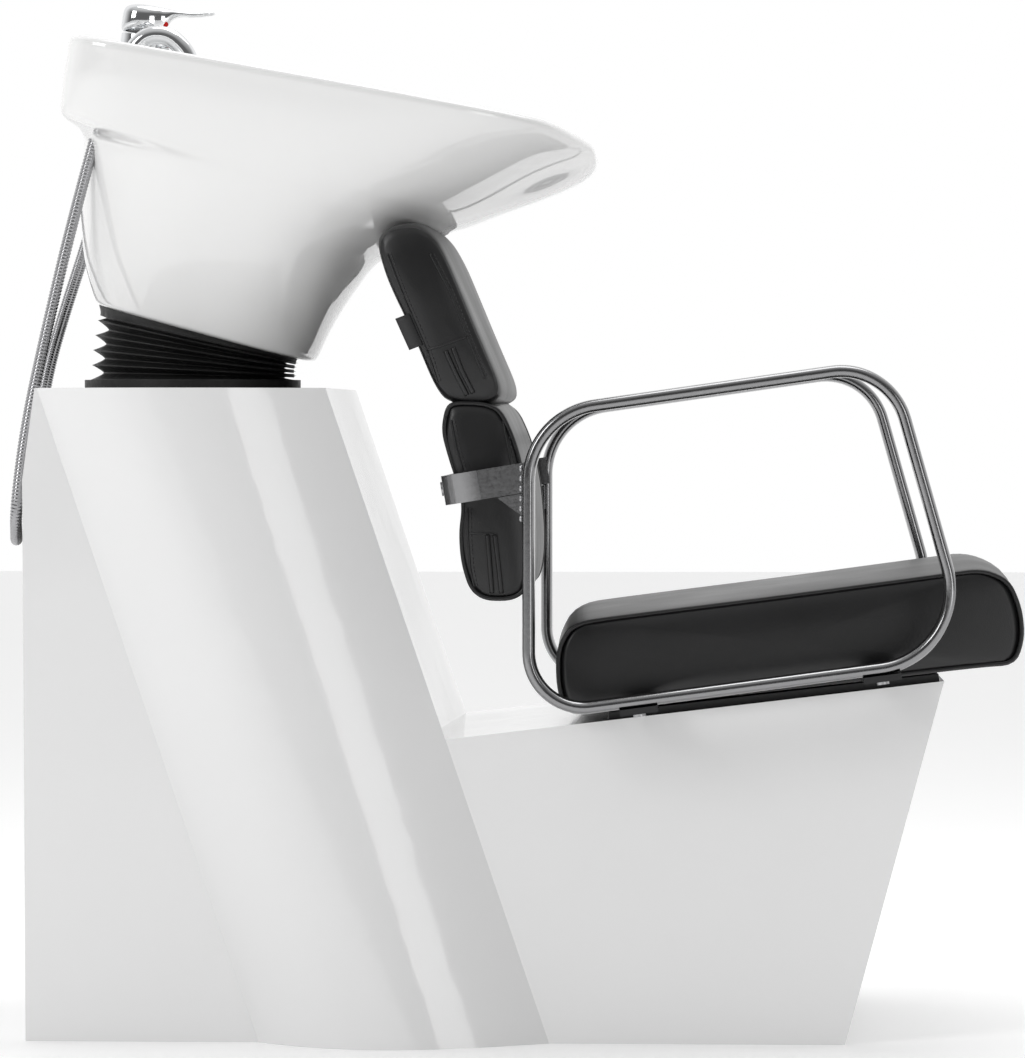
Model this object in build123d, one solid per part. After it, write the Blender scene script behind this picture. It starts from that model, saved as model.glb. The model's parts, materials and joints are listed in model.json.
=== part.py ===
"""Shampoo backwash unit: tilting ceramic bowl on a moulded base, with an attached padded chair.

Frame: +X is the way the client faces, +Z up, origin on the floor under the middle of the unit.
All sizes are millimetres.
"""
from build123d import *
import math
import os

# ---- driving dimensions -------------------------------------------------------------------
REAR_X = -479.0            # rear of the base
COLUMN_TOP = 629.0         # top of the column under the bowl
COLUMN_FRONT = -187.0      # front edge of the column top
NOOK = (-72.0, 292.0)      # where the column's front face meets the plinth
PLINTH_FRONT = (405.0, 349.0)
TOE_X = 311.0              # foot of the plinth's front face
SHELL_HALF = 212.0         # half width of the base away from the bulges
BULGE = 56.0               # how far each column side swells out
WALL = 5.0                 # laminate thickness
FLANGE = 20.0              # floor flange turned inwards
BAY = (270.0, 90.0, 522.0)  # rear service opening: width, lowest, highest

TILT = 15.2                # forward tilt of the bowl at rest
BOWL_SEAT = (-315.0, 682.0)  # a point on the bowl's underside, above the pivot
RIM_REAR = (-193.0, 245.0)  # rim line in the bowl's own frame
RIM_FRONT = (325.0, 290.0)
DECK_V = 232.0             # tap deck height in the bowl's own frame
DECK_U = -143.0            # tap centre
DRAIN_U = -60.0
HANDSET_Y = -52.0
PIVOT = (-305.0, 652.0)
PIN_R = 6.0
RUN_FIT = 0.05
BRACKET_BOLTS = [(x, y) for x in (-338.0, -272.0) for y in (-42.0, 42.0)]

BELLOWS_X = -336.0
BELLOWS_R = 104.0
TAP_LEAN = 7.3

ARM_Y = 280.0
ARM_BAND = (12.0, 28.0)    # tube size: in the loop's plane, across it
ARM_CORNERS = [(10.3, 603.0), (349.4, 651.2), (427.8, 375.9), (10.3, 319.6)]
ARM_RADII = [72.0, 62.0, 75.0, 52.0]
SEAT_SLOPE = math.degrees(math.atan2(ARM_CORNERS[2][1] - ARM_CORNERS[3][1],
                                     ARM_CORNERS[2][0] - ARM_CORNERS[3][0]))
PLINTH_SLOPE = math.degrees(math.atan2(PLINTH_FRONT[1] - NOOK[1], PLINTH_FRONT[0] - NOOK[0]))
SEAT_HALF = 235.0
BACK_HALF = 222.0
BOARD_T = 10.0
BAR_X = (114.0, 343.0)     # cross bars under the seat
BAR_T = 6.0
RAIL_Y = 180.0
RAIL_X = (84.0, 402.0)
RUNNER_X = (94.0, 356.0)
SOFT_GAP = 0.3

HOSE_D = 12.0
TAIL_D = 9.0
SUPPLY_Y = (50.0, 82.0)
WASTE_D = 32.0
TRAP_TOP = (-388.0, 446.0)
OUTLET_END = -486.0        # open end of the waste spigot
SPIGOT = 40.0
THREAD = (10.48, 20.0)     # G1/2 male thread: major radius, length
INLET_Z = 420.0
INLET_X = -438.0

BOWL = Location((BOWL_SEAT[0], 0, BOWL_SEAT[1]), (0, TILT, 0))
TAP = BOWL * Location((DECK_U, 0, DECK_V), (0, TAP_LEAN - TILT, 0))
made = {}


# ---- helpers ------------------------------------------------------------------------------
def keep(name, shape):
    """Hold a finished sub-part under the name a person would use for it."""
    made[name] = shape


def side_plate(points, half, middle=0.0):
    """A solid whose outline is drawn in the XZ plane and that runs across Y."""
    face = make_face(Polyline(*[(x, 0, z) for x, z in points], close=True))
    return Pos(0, middle, 0) * extrude(face, half, dir=(0, 1, 0), both=True)


def cyl(radius, low, high, x=0.0, y=0.0):
    """An upright cylinder between two heights."""
    return Pos(x, y, (low + high) / 2) * Cylinder(radius, high - low)


def ring(outer, inner, low, high, x=0.0, y=0.0):
    """An upright tube between two heights."""
    return cyl(outer, low, high, x, y) - cyl(inner, low - 1, high + 1, x, y)


def cross_pin(radius, half, x, z, y=0.0):
    """A round bar lying along Y."""
    return Pos(x, y, z) * Rot(90, 0, 0) * Cylinder(radius, 2 * half)


def hexagon(across, low, high, x=0.0, y=0.0):
    """A hexagon nut or head standing upright."""
    return Pos(x, y, low) * extrude(RegularPolygon(across / math.sqrt(3), 6), high - low)


def column_at(line, z):
    """X on a sloping line of the column side, given its top and floor values."""
    return line[0] + (line[1] - line[0]) * (1 - z / COLUMN_TOP)


def corner_radii(route):
    """The largest tangent radius at each corner of a hose's route."""
    radii = []
    for before, here, after in zip(route, route[1:], route[2:]):
        a, b, c = Vector(before), Vector(here), Vector(after)
        turn = math.radians((b - a).get_angle(c - b))
        shorter = min((b - a).length, (c - b).length)
        radii.append(0.45 * shorter / math.tan(turn / 2))
    return radii


def hose(name, route, diameter, bore=0.0):
    """A round tube along straight runs and tangent arcs."""
    radii = corner_radii(route)
    path = FilletPolyline(*route, radius=radii)
    start = Plane(origin=route[0], z_dir=Vector(route[1]) - Vector(route[0]))
    section = Circle(diameter / 2) - Circle(bore / 2) if bore else Circle(diameter / 2)
    tube = sweep(start * section, path=path)
    area = math.pi * (diameter ** 2 - bore ** 2) / 4
    print(name, "length", round(path.length), "least radius", round(min(radii)),
          "volume ratio", round(tube.volume / (area * path.length), 3))
    return tube


# ---- base ---------------------------------------------------------------------------------
RIDGE = (-465.0, -252.0)   # where each side bulge starts, at the top and at the floor
FRONT_RUN = (NOOK[0] - COLUMN_FRONT) / (COLUMN_TOP - NOOK[1])
CREASE = (COLUMN_FRONT, COLUMN_FRONT + FRONT_RUN * COLUMN_TOP)


def bulge_section(z, inset):
    """Plan outline of the column's swelling sides at one height."""
    back = column_at(RIDGE, z) + inset
    front = column_at(CREASE, z) - inset
    half = SHELL_HALF - inset
    steps = 6
    side = []
    for i in range(steps + 1):
        u = i / steps
        side.append((back + (front - back) * u, half + BULGE * math.sin(math.pi * u ** 0.85)))
    mirror = [(x, -y) for x, y in reversed(side)]
    edges = [Spline(*side), Line(side[-1], mirror[0]), Spline(*mirror), Line(mirror[-1], side[0])]
    return Pos(0, 0, z) * make_face(edges)


def base_body(inset, floor):
    """The base as a plain solid, shrunk by the inset on every side but the floor."""
    outline = Polyline((REAR_X + 2, 0, floor), (REAR_X, 0, 541), (REAR_X + 12, 0, COLUMN_TOP),
                       (COLUMN_FRONT, 0, COLUMN_TOP), (NOOK[0], 0, NOOK[1]),
                       (PLINTH_FRONT[0], 0, PLINTH_FRONT[1]), (TOE_X, 0, floor), close=True)
    face = make_face(outline)
    if inset:
        face = offset(face, -inset, kind=Kind.INTERSECTION)
    prism = extrude(face, SHELL_HALF - inset, dir=(0, 1, 0), both=True)
    upper = bulge_section(COLUMN_TOP - inset, inset)
    lower = bulge_section(floor + inset, inset)
    return prism + loft([lower, upper], ruled=True)


def base_shell():
    body = base_body(0, 0)
    room = base_body(WALL, 0)
    mouth = Pos(0, 0, WALL) * extrude(offset(base_foot(), -FLANGE), 3 * WALL, both=True)
    width, low, high = BAY
    bay = Pos(REAR_X, 0, (low + high) / 2) * Rot(0, 90, 0) * extrude(
        RectangleRounded(high - low, width, 40), 30, both=True)
    pipe_hole = cyl(32, COLUMN_TOP - 20, COLUMN_TOP + 10, -396)
    bolt_holes = [cyl(5, COLUMN_TOP - 20, COLUMN_TOP + 10, x, y)
                  for x, y in BRACKET_BOLTS]
    screw_holes = [at * cyl(3.02, -20, 4) for at in rail_screw_places()]
    return body - room - mouth - bay - pipe_hole - bolt_holes - screw_holes


def base_foot():
    """Plan outline of the base where it meets the floor, without the side bulges."""
    length = TOE_X - REAR_X - 2
    return Pos((TOE_X + REAR_X + 2) / 2, 0) * Rectangle(length, 2 * SHELL_HALF)


def plinth_z(x):
    """Height of the plinth's upper face."""
    return NOOK[1] + (x - NOOK[0]) * math.tan(math.radians(PLINTH_SLOPE))


POST_X = -305.0
POST = 60.0
ANCHORS = [(-260.0, -165.0), (-260.0, 165.0), (230.0, -165.0), (230.0, 165.0)]


def base_frame():
    """Welded steel frame: floor rails, a hollow post under the pivot and two seat portals."""
    frame = Pos(POST_X, 0, 313) * (Box(POST, POST, 606) - Box(POST - 8, POST - 8, 608))
    frame += Pos(POST_X, 0, 619) * Box(130, 110, 8)
    for side in (-1, 1):
        frame += Pos(-20, side * 165, 9) * Box(560, 44, 6)
    for x in (-282, 0, 240):
        frame += Pos(x, 0, 9) * Box(60, 330, 6)
    for x in (60, 205):
        top = plinth_z(x - 15) - WALL - 3
        for side in (-1, 1):
            frame += Pos(x, side * 165, (12 + top) / 2) * (Box(30, 30, top - 12) - Box(25, 25, top - 11))
    frame -= [cyl(5, COLUMN_TOP - 20, COLUMN_TOP, x, y) for x, y in BRACKET_BOLTS]
    frame -= [cyl(6.5, 0, 20, x, y) for x, y in ANCHORS]
    return frame


def lower_bracket():
    """Plate on the column with two ears that carry the tilt pin."""
    plate = Pos(POST_X, 0, COLUMN_TOP + 3) * Box(96, 108, 6)
    for side in (-1, 1):
        ear = Pos(PIVOT[0], side * 27, COLUMN_TOP + 6 + 13) * Box(30, 6, 28)
        plate += ear + cross_pin(15, 3, PIVOT[0], PIVOT[1], side * 27)
    plate -= cross_pin(PIN_R + 0.02, 40, *PIVOT)
    plate -= [cyl(5, COLUMN_TOP - 1, COLUMN_TOP + 10, x, y) for x, y in BRACKET_BOLTS]
    return plate


def upper_bracket():
    """Plate under the bowl with two ears inside the lower pair."""
    plate = BOWL * (Pos(24, 0, -3) * Box(80, 90, 6))
    for side in (-1, 1):
        ear = BOWL * (Pos(16, side * 19, -16) * Box(26, 6, 24))
        plate += ear + cross_pin(13, 3, PIVOT[0], PIVOT[1], side * 19)
    return plate - cross_pin(PIN_R + RUN_FIT, 40, *PIVOT)


def bracket_bolts():
    """Four hexagon bolts through the lower bracket, column top and frame plate."""
    bolts = []
    for x, y in BRACKET_BOLTS:
        head = hexagon(13, COLUMN_TOP + 6, COLUMN_TOP + 12, x, y)
        bolts.append(head + cyl(4, COLUMN_TOP - 24, COLUMN_TOP + 6, x, y))
    return Compound(bolts)


def bracket_nuts():
    """Nuts for those bolts, under the frame's top plate."""
    nuts = [hexagon(13, COLUMN_TOP - 21, COLUMN_TOP - 14, x, y) - cyl(4.02, 500, 700, x, y)
            for x, y in BRACKET_BOLTS]
    return Compound(nuts)


def bellows():
    """Rubber gaiter as a plain wedge-shaped tube between column and bowl."""
    low = Location((BELLOWS_X, 0, COLUMN_TOP + 9))
    top = BOWL * Location((-15.5, 0, -SOFT_GAP))
    outer = loft([low * Circle(BELLOWS_R), top * Circle(BELLOWS_R)])
    inner_low = Location((BELLOWS_X, 0, COLUMN_TOP + 8))
    inner_top = BOWL * Location((-15.5, 0, 1))
    return outer - loft([inner_low * Circle(BELLOWS_R - 8), inner_top * Circle(BELLOWS_R - 8)])


def trap():
    """Bottle trap: body with a side outlet, its cup, and the nuts."""
    x, top = TRAP_TOP
    body = cyl(27, top - 66, top - 16, x) + cyl(19, top - 16, top - 2, x)
    shoulder = OUTLET_END + SPIGOT
    body += Pos((x + shoulder) / 2, 0, top - 40) * Rot(0, 90, 0) * Cylinder(22, x - shoulder)
    body += Pos(shoulder - SPIGOT / 2, 0, top - 40) * Rot(0, 90, 0) * Cylinder(20, SPIGOT)
    body -= Pos(x - 60, 0, top - 40) * Rot(0, 90, 0) * Cylinder(17, 140)
    body -= cyl(22, top - 67, top - 22, x)
    body -= cyl(14, top - 23, top, x)
    keep("trap_body", body)
    keep("trap_cup", ring(31, 27.02, top - 82, top - 63, x) + cyl(31, top - 128, top - 82, x)
         - cyl(24, top - 122, top - 60, x))
    keep("trap_nut", hexagon(52, top - 14, top - 4, x) - cyl(19.02, top - 20, top, x))


def inlets():
    """Bracket plate with two male nipples, screwed to the frame's post."""
    face = POST_X - POST / 2
    length = face - INLET_X + 16
    arm = Pos(face - length / 2, 70, INLET_Z) * Box(length, 76, 4)
    arm += Pos(face - 2, 30, INLET_Z - 16) * Box(4, 64, 36)
    for y in SUPPLY_Y:
        arm -= cyl(9.9, INLET_Z - 10, INLET_Z + 10, INLET_X, y)
    keep("inlet_bracket", arm)
    for name, y in zip(("inlet_nipple_hot", "inlet_nipple_cold"), SUPPLY_Y):
        nipple = cyl(THREAD[0], INLET_Z - 32, INLET_Z - 32 + THREAD[1], INLET_X, y)
        nipple += cyl(9.8, INLET_Z - 32 + THREAD[1], INLET_Z + 12, INLET_X, y)
        nipple += hexagon(25, INLET_Z + 2, INLET_Z + 8, INLET_X, y)
        keep(name, nipple - cyl(7, INLET_Z - 40, INLET_Z + 20, INLET_X, y))
    nuts = [hexagon(25, INLET_Z - 7, INLET_Z - 2, INLET_X, y)
            - cyl(9.9, INLET_Z - 10, INLET_Z, INLET_X, y) for y in SUPPLY_Y]
    keep("inlet_lock_nuts", Compound(nuts))


# ---- bowl ---------------------------------------------------------------------------------
OUTER = [(0, -122, 106, 130, 96), (59, -152, 117, 165, 112), (114, -165, 140, 195, 128),
         (160, -171, 196, 218, 150), (205, -176, 256, 234, 150), (255, -182, 316, 244, 140),
         (300, -190, 338, 248, 120)]
INNER = [(16, -88, 70, 92, 66), (70, -96, 92, 138, 88), (130, -100, 118, 172, 100),
         (185, -100, 172, 200, 99), (232, -100, 224, 216, 92), (310, -100, 262, 222, 80)]


def bowl_loft(sections):
    """A stack of rounded plan outlines: height, rear, front, half width, corner radius."""
    faces = []
    for v, rear, front, half, radius in sections:
        faces.append(Pos((rear + front) / 2, 0, v) * RectangleRounded(front - rear, 2 * half, radius))
    return loft(faces, ruled=True)


def bowl():
    """Ceramic bowl with tap deck, basin, neck rest and the hose recess behind."""
    body = bowl_loft(OUTER)
    deck_u = (RIM_REAR[0] - 20) / 2
    body += Pos(deck_u, 0, 231) * extrude(
        RectangleRounded(-RIM_REAR[0] - 20, 476, 60), 64, both=True)
    rise = math.degrees(math.atan2(RIM_FRONT[1] - RIM_REAR[1], RIM_FRONT[0] - RIM_REAR[0]))
    mid = ((RIM_REAR[0] + RIM_FRONT[0]) / 2, (RIM_REAR[1] + RIM_FRONT[1]) / 2)
    body -= Pos(mid[0], 0, mid[1]) * Rot(0, -rise, 0) * Pos(0, 0, 60) * Box(700, 600, 120)
    body -= bowl_loft(INNER)
    body -= Pos(DECK_U - 2, 0, DECK_V + 30) * Rot(0, TAP_LEAN - TILT, 0) * extrude(
        RectangleRounded(72, 400, 20), 30, both=True)
    neck = Pos(250, 0, 318) * Rot(0, 83, 0) * extrude(Ellipse(50, 104), 130, both=True)
    body -= neck
    body -= Pos(-148, 0, 168 + 24) * Box(62, 330, 58)
    body -= Pos(-190, -81, 108) * Box(96, 138, 126)
    body -= Pos(-190, 66, 108) * Box(96, 78, 126)
    body -= cyl(22, -5, 40, DRAIN_U)
    body = BOWL * body
    body -= TAP * cyl(16, -60, 20)
    body -= TAP * Pos(-2, HANDSET_Y, 0) * Cylinder(13, 60)
    return body


def drain():
    """Drain flange, strainer, seal, lock nut and tail pipe."""
    here = BOWL * Location((DRAIN_U, 0, 0))
    flange = ring(27, 17, 16, 18.5) + ring(21.5, 17, -22, 16)
    keep("drain_flange", here * flange)
    keep("drain_seal", here * ring(33, 21.6, -3, 0))
    keep("drain_nut", here * (hexagon(56, -13, -3) - cyl(21.55, -20, 0)))
    keep("drain_tail", here * ring(17, 14, -40, 14))
    disc = cyl(16.6, 15.5, 17.5)
    for i in range(8):
        disc -= Rot(0, 0, i * 45) * cyl(2.4, 10, 20, 10)
    keep("strainer", here * (disc + cyl(3.5, 17.5, 23)))


def mixer():
    """Single-lever mixer on the deck."""
    body = cyl(20, 3, 40)
    body += Pos(14, 0, 22) * Rot(0, 78, 0) * Cylinder(9, 34)
    keep("mixer_body", TAP * (fillet(body.edges().filter_by(GeomType.CIRCLE).group_by(Axis.Z)[-1], 1)
                              - cyl(15, 12, 41)))
    keep("mixer_base_ring", TAP * ring(25, 14, 0, 3))
    keep("mixer_shank", TAP * (cyl(13, -58, 3)))
    keep("mixer_nut", TAP * (hexagon(36, -34, -24) - cyl(13.02, -40, -20)))
    keep("cartridge", TAP * (cyl(14.9, 12, 40)))
    keep("lever_stem", TAP * (cyl(6, 40.1, 50)))
    shell = cyl(20.5, 41.2, 66) - cyl(17.5, 40, 60)
    handle = Pos(40, 0, 62) * Rot(0, -4, 0) * Box(64, 15, 6)
    handle += Pos(18, 0, 55) * Box(12, 22, 16)
    handle -= cyl(17.5, 40, 60)
    keep("lever_handle", TAP * (shell + handle))
    keep("temperature_mark", TAP * (Pos(24.2, -11.4, 53) * Rot(90, 0, 0) * Cylinder(2.6, 0.8)))



def handset():
    """Spray handset that rests in a sleeve on the deck."""
    dock = TAP * Pos(-2, HANDSET_Y, 0) * (ring(18, 10.3, 0, 9) + ring(12.9, 10.3, -24, 0))
    keep("handset_dock", dock)
    route = [(0, 0, -20), (0, 0, 20), (14, 0, 38), (36, 0, 40), (57, 0, 24), (66, 0, -4)]
    path = FilletPolyline(*route, radius=corner_radii(route))
    tube = sweep(Plane.XY.offset(-20) * Circle(9), path=path)
    keep("handset_body", TAP * Pos(-2, HANDSET_Y, 0) * tube)
    lean = Plane(origin=route[-1], z_dir=Vector(route[-1]) - Vector(route[-2]))
    keep("spray_head", TAP * Pos(-2, HANDSET_Y, 0) * (lean * cyl(12, 0.01, 20)))
    keep("spray_face", TAP * Pos(-2, HANDSET_Y, 0) * (lean * cyl(10.5, 20, 22.5)))


# ---- hoses --------------------------------------------------------------------------------
SHOWER_ROUTE = [(-416, -131, 880), (-441, -131, 789), (-465, -131, 689), (-487, -131, 589),
                (-497, -131, 509.3), (-499.5, -101.7, 480), (-506, -60.3, 480), (-510, -31, 509.3),
                (-501, -31, 589), (-479, -31, 689), (-455, -31, 789), (-430, -31, 880)]


def supply_route(y):
    """Points of one supply tail, from the deck down into the service opening."""
    return [(-418, y, 880), (-434, y, 833), (-451, y, 775), (-471, y, 715), (-489, y, 655),
            (-499, y, 600), (-500, y, 548), (-487, y, 507), (-463, y, 485), (-443, y, 466),
            (INLET_X, y, 440)]


WASTE_ROUTE = [(-383.8, 0, 657.8), (-393, 0, 624), (-396, 0, 588), (-394, 0, 540),
               (-389, 0, 492), (TRAP_TOP[0], 0, TRAP_TOP[1])]


def hoses():
    keep("shower_hose", hose("shower_hose", SHOWER_ROUTE, HOSE_D))
    ends = []
    for end, after in ((SHOWER_ROUTE[0], SHOWER_ROUTE[1]), (SHOWER_ROUTE[-1], SHOWER_ROUTE[-2])):
        plane = Plane(origin=end, z_dir=Vector(end) - Vector(after))
        ends.append(plane * cyl(8, 0, 18))
    keep("shower_hose_ferrules", Compound(ends))
    top_nuts = []
    low_nuts = []
    for name, y in zip(("supply_hose_hot", "supply_hose_cold"), SUPPLY_Y):
        route = supply_route(y)
        keep(name, hose(name, route, TAIL_D))
        plane = Plane(origin=route[0], z_dir=Vector(route[0]) - Vector(route[1]))
        top_nuts.append(plane * cyl(6.5, 0, 16))
        low_nuts.append(hexagon(24, INLET_Z + 12, INLET_Z + 19, INLET_X, y))
    keep("supply_top_nuts", Compound(top_nuts))
    keep("supply_union_nuts", Compound(low_nuts))
    keep("waste_hose", hose("waste_hose", WASTE_ROUTE, WASTE_D, 26))


# ---- chair --------------------------------------------------------------------------------
def arm_loop(side):
    """Closed armrest loop bent from flat-oval tube."""
    points = [(x, 0, z) for x, z in ARM_CORNERS]
    centre = FilletPolyline(*points, radius=ARM_RADII, close=True)
    face = make_face(centre)
    band = offset(face, ARM_BAND[0] / 2) - offset(face, -ARM_BAND[0] / 2)
    loop = Pos(0, side * ARM_Y, 0) * extrude(band, ARM_BAND[1] / 2, dir=(0, 1, 0), both=True)
    return loop


def under_tube(x):
    """Underside of the armrest's lower run."""
    base = ARM_CORNERS[3]
    slope = math.tan(math.radians(SEAT_SLOPE))
    return base[1] + (x - base[0]) * slope - ARM_BAND[0] / 2 / math.cos(math.radians(SEAT_SLOPE))


def on_seat(x, z, shape):
    """Place a shape drawn level so that it follows the seat's slope."""
    return Location((x, 0, z), (0, -SEAT_SLOPE, 0)) * shape


def cross_bars():
    bars = []
    for x in BAR_X:
        bar = Pos(0, 0, -BAR_T / 2) * Box(36, 2 * ARM_Y + ARM_BAND[1], BAR_T)
        bars.append(on_seat(x, under_tube(x), bar))
    return Compound(bars)


def arm_bolts():
    """Dome heads under the cross bars that clamp the armrests."""
    bolts = []
    for x in BAR_X:
        for side in (-1, 1):
            head = Pos(0, side * ARM_Y, -BAR_T - 1.5) * Cylinder(6, 3)
            bolts.append(on_seat(x, under_tube(x), head))
    return Compound(bolts)


def seat_board():
    middle = 262.0
    return on_seat(middle, under_tube(middle), Pos(0, 0, BOARD_T / 2 + 0.4) * Box(392, 440, BOARD_T))


def seat_cushion():
    """Seat pad as a plain closed solid around its board."""
    outline = [(48, 323), (37, 350), (36, 378), (46, 400), (77, 411), (419, 458), (448, 457),
               (466, 446), (476, 424), (479, 400), (476, 380), (466, 372), (400, 371)]
    pad = side_plate(outline, SEAT_HALF)
    return pad - board_room()


def board_room():
    """Room for the seat board, open below."""
    middle = 262.0
    room = Pos(0, 0, BOARD_T / 2 - 9.6) * Box(392.4, 440.4, BOARD_T + 20)
    return on_seat(middle, under_tube(middle), room)


def rails():
    """Two channel rails on the plinth and the runners that slide in them."""
    middle = (RAIL_X[0] + RAIL_X[1]) / 2
    length = RAIL_X[1] - RAIL_X[0]
    for name, side in (("left", 1), ("right", -1)):
        at = Location((middle, side * RAIL_Y, plinth_z(middle)), (0, -PLINTH_SLOPE, 0))
        channel = Pos(0, 0, 3.4) * Box(length, 40, 6.8)
        channel -= Pos(0, 0, 3.4) * Box(length + 2, 30, 2.8)
        channel -= Pos(0, 0, 6) * Box(length + 2, 18, 6)
        holes = [place * cyl(3.02, -4, 4) for place in rail_screw_places()]
        keep("fixed_rail_" + name, at * channel - holes)
        reach = RUNNER_X[1] - RUNNER_X[0]
        shift = (RUNNER_X[0] + RUNNER_X[1]) / 2 - middle
        runner = Pos(shift, 0, 3.4) * Box(reach, 29.4, 2.2)
        runner += Pos(shift, 0, 4.8) * Box(reach, 15, 4)
        runner = at * runner
        for x in BAR_X:
            drop = under_tube(x) - BAR_T - plinth_z(x) - 5
            lug = Pos(0, side * RAIL_Y, -BAR_T - 0.01 - drop / 2) * Box(26, 14, drop)
            runner += on_seat(x, under_tube(x), lug)
        keep("runner_" + name, runner)
    screws = [at * (cyl(3, -14, 1.8) + hexagon(10, -10, -WALL - 0.1)) for at in rail_screw_places()]
    keep("rail_screws", Compound(screws))


def rail_screw_places():
    """Where the rail screws cross the plinth's upper face."""
    return [Location((x, side * RAIL_Y, plinth_z(x)), (0, -PLINTH_SLOPE, 0))
            for x in (120, 372) for side in (-1, 1)]


UPPER_PAD = [(-136, 762), (-128, 732), (-105, 684), (-75, 622), (-21, 622), (-43, 675), (-74, 748),
             (-80, 772), (-88, 782), (-104, 786), (-122, 781), (-133, 773)]
LOWER_PAD = [(-75, 609), (-73, 589), (-65, 550), (-60, 500), (-56, 464), (-50, 440), (-38, 430),
             (-2, 430), (5, 437), (11, 472), (5, 535), (-5, 577), (-20, 609)]


def backrest():
    """Two pads on one bent board, held by a steel strap behind."""
    board_line = [(-101, 755), (-59, 655), (-44, 610), (-37, 575), (-22, 490), (-20, 455),
                  (-26, 455), (-28, 490), (-43, 574), (-50, 608), (-65, 653), (-107, 752)]
    keep("backrest_board", side_plate(board_line, 180))
    room = side_plate(board_line, 180.3)
    grown = [(v - 3, rear - 3, front + 3, half + 3, r) for v, rear, front, half, r in OUTER]
    keep("backrest_upper_pad", side_plate(UPPER_PAD, BACK_HALF) - room - BOWL * bowl_loft(grown))
    keep("backrest_lower_pad", side_plate(LOWER_PAD, BACK_HALF) - room)


def strap():
    """Flat steel band round the back of the lower pad, welded to both armrests."""
    back, front, half = -74.0, 12.0, ARM_Y - ARM_BAND[1] / 2
    route = [(front, -half, 0), (back, -half, 0), (back, half, 0), (front, half, 0)]
    outer = [(x, y) for x, y, _ in route]
    band = Polyline(*outer, close=True)
    plate = fillet(make_face(band).vertices().group_by(Axis.X)[0], 36)
    inner = offset(plate, -5)
    inner += Pos(front, 0) * Rectangle(30, 2 * half - 10)
    body = extrude(plate - inner, 14, both=True)
    at = Location((0, 0, 543), (0, -9.5, 0))
    keep("backrest_strap", at * body)
    gussets = []
    for side in (-1, 1):
        web = side_plate([(-20, 524.6), (8, 529.2), (8, 504)], 2.5, side * (half - 2.5))
        gussets.append(web)
    keep("strap_gussets", Compound(gussets))
    bolts = []
    for y in (-120, 120):
        head = Pos(-78.5, y, 531) * Rot(0, 90 - 9.5, 0) * Cylinder(7, 4)
        bolts.append(head)
    keep("strap_bolts", Compound(bolts))


def build():
    """Make every sub-part."""
    keep("base_shell", base_shell())
    keep("base_frame", base_frame())
    keep("lower_tilt_bracket", lower_bracket())
    keep("upper_tilt_bracket", upper_bracket())
    keep("bracket_bolts", bracket_bolts())
    keep("bracket_nuts", bracket_nuts())
    pin = cross_pin(PIN_R, 36, *PIVOT)
    keep("pivot_pin", pin + cross_pin(9, 2, PIVOT[0], PIVOT[1], -34))
    nut = Pos(PIVOT[0], 30, PIVOT[1]) * Rot(-90, 0, 0) * hexagon(18, 0.05, 6)
    keep("pivot_nut", nut - pin)
    keep("bellows", bellows())
    keep("bellows_base_ring", ring(BELLOWS_R + 4, BELLOWS_R - 7, COLUMN_TOP, COLUMN_TOP + 9, BELLOWS_X))
    trap()
    inlets()
    keep("bowl", bowl())
    drain()
    mixer()
    handset()
    hoses()
    keep("arm_loop_right", arm_loop(-1))
    keep("arm_loop_left", arm_loop(1))
    keep("cross_bars", cross_bars())
    keep("arm_bolts", arm_bolts())
    keep("seat_board", seat_board())
    keep("seat_cushion", seat_cushion())
    rails()
    backrest()
    strap()


build()
os.makedirs("parts", exist_ok=True)
for part_name, part_shape in made.items():
    export_step(part_shape, os.path.join("parts", part_name + ".step"))
print(len(made), "sub-parts")
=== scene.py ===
"""Looks of the shampoo backwash unit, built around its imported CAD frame. Metres, +X client's way, +Z up."""
import bpy
import json
import math
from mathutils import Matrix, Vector


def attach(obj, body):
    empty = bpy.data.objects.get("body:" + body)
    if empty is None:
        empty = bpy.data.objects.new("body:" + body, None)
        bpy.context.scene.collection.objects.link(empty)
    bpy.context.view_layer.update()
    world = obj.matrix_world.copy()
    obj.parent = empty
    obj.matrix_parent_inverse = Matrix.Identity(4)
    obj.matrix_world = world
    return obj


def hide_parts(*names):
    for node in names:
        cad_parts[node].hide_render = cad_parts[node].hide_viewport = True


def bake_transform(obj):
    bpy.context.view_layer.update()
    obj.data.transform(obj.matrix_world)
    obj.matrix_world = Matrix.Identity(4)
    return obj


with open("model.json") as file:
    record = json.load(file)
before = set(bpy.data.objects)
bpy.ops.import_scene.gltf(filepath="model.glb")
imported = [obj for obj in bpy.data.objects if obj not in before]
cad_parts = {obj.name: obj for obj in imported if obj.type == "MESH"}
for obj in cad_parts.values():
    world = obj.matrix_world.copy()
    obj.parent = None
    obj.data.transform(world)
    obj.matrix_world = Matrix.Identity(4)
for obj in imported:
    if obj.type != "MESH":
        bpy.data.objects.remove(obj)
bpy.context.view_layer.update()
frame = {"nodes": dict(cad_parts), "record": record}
NODES = frame["nodes"]
MM = 0.001
TILT = math.radians(15.2)
BOWL_SEAT = Vector((-0.315, 0.0, 0.682))
U_AXIS = Vector((math.cos(TILT), 0, -math.sin(TILT)))
V_AXIS = Vector((math.sin(TILT), 0, math.cos(TILT)))


# ---- small tools --------------------------------------------------------------------------
def mesh_object(name, verts, faces, smooth=True):
    """A new mesh piece in the scene."""
    mesh = bpy.data.meshes.new(name)
    mesh.from_pydata([tuple(v) for v in verts], [], faces)
    mesh.validate()
    mesh.polygons.foreach_set("use_smooth", [smooth] * len(mesh.polygons))
    piece = bpy.data.objects.new(name, mesh)
    bpy.context.scene.collection.objects.link(piece)
    return piece


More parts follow.
